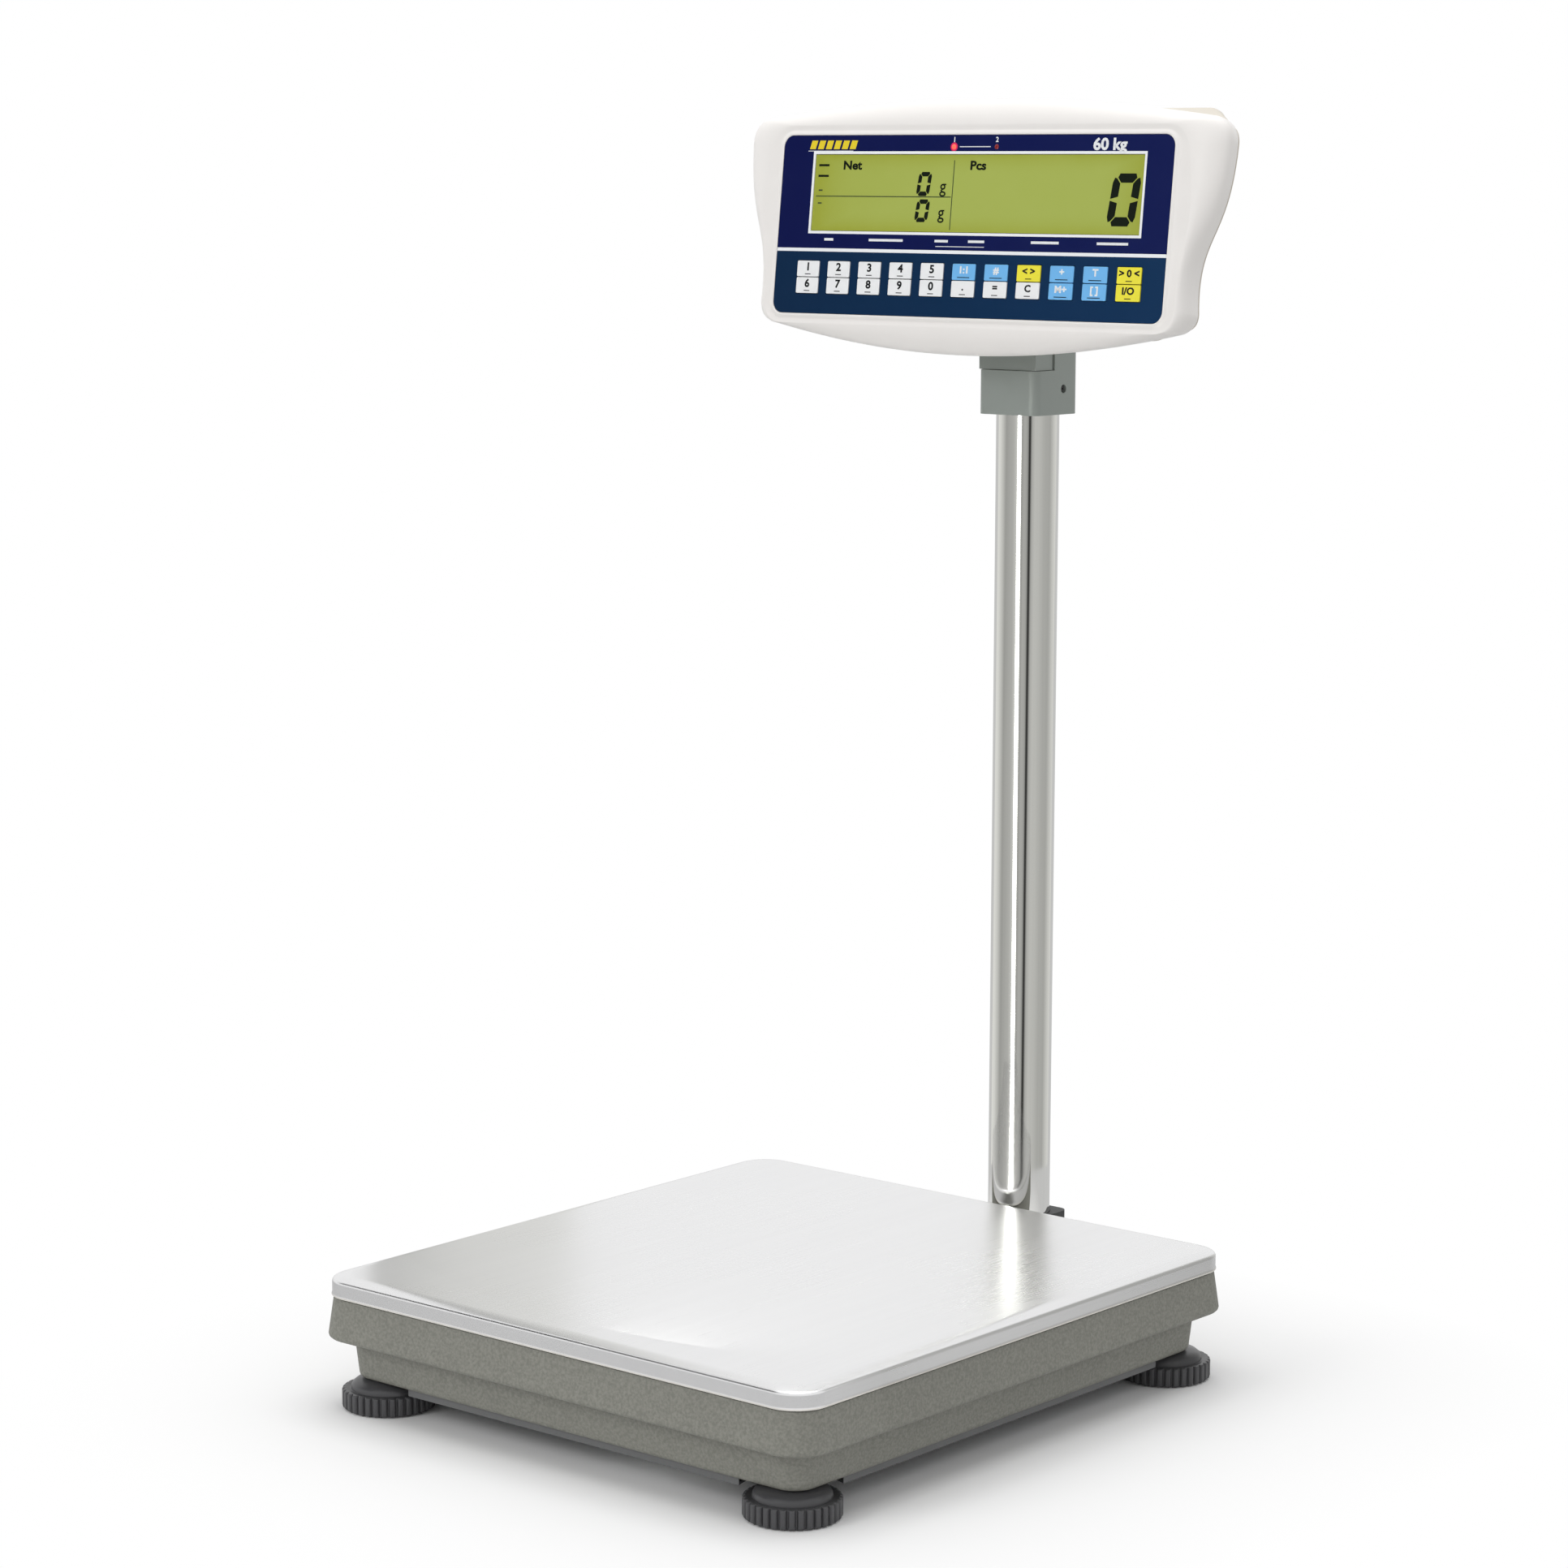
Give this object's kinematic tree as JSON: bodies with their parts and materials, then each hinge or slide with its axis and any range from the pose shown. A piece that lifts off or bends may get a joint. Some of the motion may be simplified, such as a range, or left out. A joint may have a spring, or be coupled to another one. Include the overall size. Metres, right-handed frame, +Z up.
{
  "type": "counting scale",
  "caption": "Counting scale: a square weighing platform on screw feet, with a rear column that carries a swivelling, tilting display and keypad head.",
  "frame": {"origin": "on the floor, at the middle of the whole scale's outline seen from above", "axes": "+Z up along the column, the user stands at -Y, +X to the user's right"},
  "size_m": [0.3632, 0.4476, 0.7421],
  "materials": {
    "stainless": "fine brushed stainless sheet",
    "cast_paint": "warm grey textured paint on a casting",
    "dark_paint": "dark grey textured paint",
    "aluminium": "milled",
    "zinc_steel": "zinc-plated",
    "vial_acrylic": "clear green acrylic",
    "polished_tube": "mirror-polished stainless",
    "grey_plastic": "fine moulded texture",
    "black_plastic": "plain moulded",
    "white_plastic": "satin moulded",
    "cream_plastic": "satin moulded",
    "overlay_film": "printed polyester film",
    "lcd_glass": "backlit yellow-green display",
    "circuit_board": "solder resist",
    "rubber": "moulded rubber",
    "dark_plastic": "moulded, fluted",
    "key_white": "printed film",
    "key_blue": "printed film",
    "key_yellow": "printed film"
  },
  "bodies": {
    "base": {"base_casting": "cast_paint", "bottom_cover": "dark_paint", "load_cell": "aluminium", "cell_base_spacer": "zinc_steel", "level_vial": "vial_acrylic", "column_bracket": "dark_paint", "bracket_bolt_left": "zinc_steel", "bracket_bolt_right": "zinc_steel", "column_tube": "polished_tube"},
    "platform": {"platform_casting": "cast_paint", "cell_live_spacer": "zinc_steel", "pan_pad_front_left": "rubber", "pan_pad_front_right": "rubber", "pan_pad_back_left": "rubber", "pan_pad_back_right": "rubber"},
    "pan": {"pan": "stainless"},
    "neck": {"collar": "grey_plastic", "collar_screw": "black_plastic", "tilt_pin": "zinc_steel"},
    "head": {"tilt_bracket": "grey_plastic", "front_shell": "white_plastic", "rear_shell": "cream_plastic", "overlay": "overlay_film", "lcd_module": "lcd_glass", "keypad_board": "circuit_board", "main_board": "circuit_board", "battery": "black_plastic", "serial_port": "zinc_steel", "dc_jack": "black_plastic"},
    "sole_front_left": {"foot_pad_front_left": "rubber"},
    "wheel_front_left": {"foot_wheel_front_left": "dark_plastic"},
    "sole_front_right": {"foot_pad_front_right": "rubber"},
    "wheel_front_right": {"foot_wheel_front_right": "dark_plastic"},
    "sole_back_left": {"foot_pad_back_left": "rubber"},
    "wheel_back_left": {"foot_wheel_back_left": "dark_plastic"},
    "sole_back_right": {"foot_pad_back_right": "rubber"},
    "wheel_back_right": {"foot_wheel_back_right": "dark_plastic"},
    "key_one": {"key_one": "key_white"},
    "key_two": {"key_two": "key_white"},
    "key_three": {"key_three": "key_white"},
    "key_four": {"key_four": "key_white"},
    "key_five": {"key_five": "key_white"},
    "key_six": {"key_six": "key_white"},
    "key_seven": {"key_seven": "key_white"},
    "key_eight": {"key_eight": "key_white"},
    "key_nine": {"key_nine": "key_white"},
    "key_zero": {"key_zero": "key_white"},
    "key_point": {"key_point": "key_white"},
    "key_enter": {"key_enter": "key_white"},
    "key_clear": {"key_clear": "key_white"},
    "key_unit_weight": {"key_unit_weight": "key_blue"},
    "key_sample": {"key_sample": "key_blue"},
    "key_total": {"key_total": "key_blue"},
    "key_memory": {"key_memory": "key_blue"},
    "key_tare": {"key_tare": "key_blue"},
    "key_print": {"key_print": "key_blue"},
    "key_check": {"key_check": "key_yellow"},
    "key_zero_set": {"key_zero_set": "key_yellow"},
    "key_power": {"key_power": "key_yellow"}
  },
  "joints": [
    {"name": "load_travel", "type": "slide", "parent": "base", "child": "platform", "axis": [0, 0, 1], "range_m": [-0.0008, 0], "stiffness_N_per_m": 600000, "springref_m": 0.00013, "deforming": ["load_cell"]},
    {"name": "pan_lift", "type": "slide", "parent": "platform", "child": "pan", "axis": [0, 0, 1], "range_m": [0, 0.06]},
    {"name": "head_swivel", "type": "hinge", "parent": "base", "child": "neck", "pos_m": [0, 0.2018, 0.556], "axis": [0, 0, 1], "range_deg": [-90, 90]},
    {"name": "head_tilt", "type": "hinge", "parent": "neck", "child": "head", "pos_m": [0, 0.2088, 0.596], "axis": [-1, 0, 0], "range_deg": [0, 30]},
    {"name": "foot_front_left_height", "type": "slide", "parent": "base", "child": "sole_front_left", "axis": [0, 0, 1], "range_m": [-0.01, 0]},
    {"name": "foot_front_left_turn", "type": "hinge", "parent": "sole_front_left", "child": "wheel_front_left", "pos_m": [-0.151, -0.1942, 0], "axis": [0, 0, 1], "range_deg": [-2400, 0]},
    {"name": "foot_front_right_height", "type": "slide", "parent": "base", "child": "sole_front_right", "axis": [0, 0, 1], "range_m": [-0.01, 0]},
    {"name": "foot_front_right_turn", "type": "hinge", "parent": "sole_front_right", "child": "wheel_front_right", "pos_m": [0.151, -0.1942, 0], "axis": [0, 0, 1], "range_deg": [-2400, 0]},
    {"name": "foot_back_left_height", "type": "slide", "parent": "base", "child": "sole_back_left", "axis": [0, 0, 1], "range_m": [-0.01, 0]},
    {"name": "foot_back_left_turn", "type": "hinge", "parent": "sole_back_left", "child": "wheel_back_left", "pos_m": [-0.151, 0.1448, 0], "axis": [0, 0, 1], "range_deg": [-2400, 0]},
    {"name": "foot_back_right_height", "type": "slide", "parent": "base", "child": "sole_back_right", "axis": [0, 0, 1], "range_m": [-0.01, 0]},
    {"name": "foot_back_right_turn", "type": "hinge", "parent": "sole_back_right", "child": "wheel_back_right", "pos_m": [0.151, 0.1448, 0], "axis": [0, 0, 1], "range_deg": [-2400, 0]},
    {"name": "key_one_press", "type": "slide", "parent": "head", "child": "key_one", "axis": [0, 0.994, -0.1097], "range_m": [0, 0.0005], "stiffness_N_per_m": 1500, "springref_m": -0.0006},
    {"name": "key_two_press", "type": "slide", "parent": "head", "child": "key_two", "axis": [0, 0.994, -0.1097], "range_m": [0, 0.0005], "stiffness_N_per_m": 1500, "springref_m": -0.0006},
    {"name": "key_three_press", "type": "slide", "parent": "head", "child": "key_three", "axis": [0, 0.994, -0.1097], "range_m": [0, 0.0005], "stiffness_N_per_m": 1500, "springref_m": -0.0006},
    {"name": "key_four_press", "type": "slide", "parent": "head", "child": "key_four", "axis": [0, 0.994, -0.1097], "range_m": [0, 0.0005], "stiffness_N_per_m": 1500, "springref_m": -0.0006},
    {"name": "key_five_press", "type": "slide", "parent": "head", "child": "key_five", "axis": [0, 0.994, -0.1097], "range_m": [0, 0.0005], "stiffness_N_per_m": 1500, "springref_m": -0.0006},
    {"name": "key_six_press", "type": "slide", "parent": "head", "child": "key_six", "axis": [0, 0.994, -0.1097], "range_m": [0, 0.0005], "stiffness_N_per_m": 1500, "springref_m": -0.0006},
    {"name": "key_seven_press", "type": "slide", "parent": "head", "child": "key_seven", "axis": [0, 0.994, -0.1097], "range_m": [0, 0.0005], "stiffness_N_per_m": 1500, "springref_m": -0.0006},
    {"name": "key_eight_press", "type": "slide", "parent": "head", "child": "key_eight", "axis": [0, 0.994, -0.1097], "range_m": [0, 0.0005], "stiffness_N_per_m": 1500, "springref_m": -0.0006},
    {"name": "key_nine_press", "type": "slide", "parent": "head", "child": "key_nine", "axis": [0, 0.994, -0.1097], "range_m": [0, 0.0005], "stiffness_N_per_m": 1500, "springref_m": -0.0006},
    {"name": "key_zero_press", "type": "slide", "parent": "head", "child": "key_zero", "axis": [0, 0.994, -0.1097], "range_m": [0, 0.0005], "stiffness_N_per_m": 1500, "springref_m": -0.0006},
    {"name": "key_point_press", "type": "slide", "parent": "head", "child": "key_point", "axis": [0, 0.994, -0.1097], "range_m": [0, 0.0005], "stiffness_N_per_m": 1500, "springref_m": -0.0006},
    {"name": "key_enter_press", "type": "slide", "parent": "head", "child": "key_enter", "axis": [0, 0.994, -0.1097], "range_m": [0, 0.0005], "stiffness_N_per_m": 1500, "springref_m": -0.0006},
    {"name": "key_clear_press", "type": "slide", "parent": "head", "child": "key_clear", "axis": [0, 0.994, -0.1097], "range_m": [0, 0.0005], "stiffness_N_per_m": 1500, "springref_m": -0.0006},
    {"name": "key_unit_weight_press", "type": "slide", "parent": "head", "child": "key_unit_weight", "axis": [0, 0.994, -0.1097], "range_m": [0, 0.0005], "stiffness_N_per_m": 1500, "springref_m": -0.0006},
    {"name": "key_sample_press", "type": "slide", "parent": "head", "child": "key_sample", "axis": [0, 0.994, -0.1097], "range_m": [0, 0.0005], "stiffness_N_per_m": 1500, "springref_m": -0.0006},
    {"name": "key_total_press", "type": "slide", "parent": "head", "child": "key_total", "axis": [0, 0.994, -0.1097], "range_m": [0, 0.0005], "stiffness_N_per_m": 1500, "springref_m": -0.0006},
    {"name": "key_memory_press", "type": "slide", "parent": "head", "child": "key_memory", "axis": [0, 0.994, -0.1097], "range_m": [0, 0.0005], "stiffness_N_per_m": 1500, "springref_m": -0.0006},
    {"name": "key_tare_press", "type": "slide", "parent": "head", "child": "key_tare", "axis": [0, 0.994, -0.1097], "range_m": [0, 0.0005], "stiffness_N_per_m": 1500, "springref_m": -0.0006},
    {"name": "key_print_press", "type": "slide", "parent": "head", "child": "key_print", "axis": [0, 0.994, -0.1097], "range_m": [0, 0.0005], "stiffness_N_per_m": 1500, "springref_m": -0.0006},
    {"name": "key_check_press", "type": "slide", "parent": "head", "child": "key_check", "axis": [0, 0.994, -0.1097], "range_m": [0, 0.0005], "stiffness_N_per_m": 1500, "springref_m": -0.0006},
    {"name": "key_zero_set_press", "type": "slide", "parent": "head", "child": "key_zero_set", "axis": [0, 0.994, -0.1097], "range_m": [0, 0.0005], "stiffness_N_per_m": 1500, "springref_m": -0.0006},
    {"name": "key_power_press", "type": "slide", "parent": "head", "child": "key_power", "axis": [0, 0.994, -0.1097], "range_m": [0, 0.0005], "stiffness_N_per_m": 1500, "springref_m": -0.0006}
  ],
  "couplings": [
    {"joint": "foot_front_left_turn", "follows": "foot_front_left_height", "rad_per_m": 4188.8},
    {"joint": "foot_front_right_turn", "follows": "foot_front_right_height", "rad_per_m": 4188.8},
    {"joint": "foot_back_left_turn", "follows": "foot_back_left_height", "rad_per_m": 4188.8},
    {"joint": "foot_back_right_turn", "follows": "foot_back_right_height", "rad_per_m": 4188.8}
  ]
}
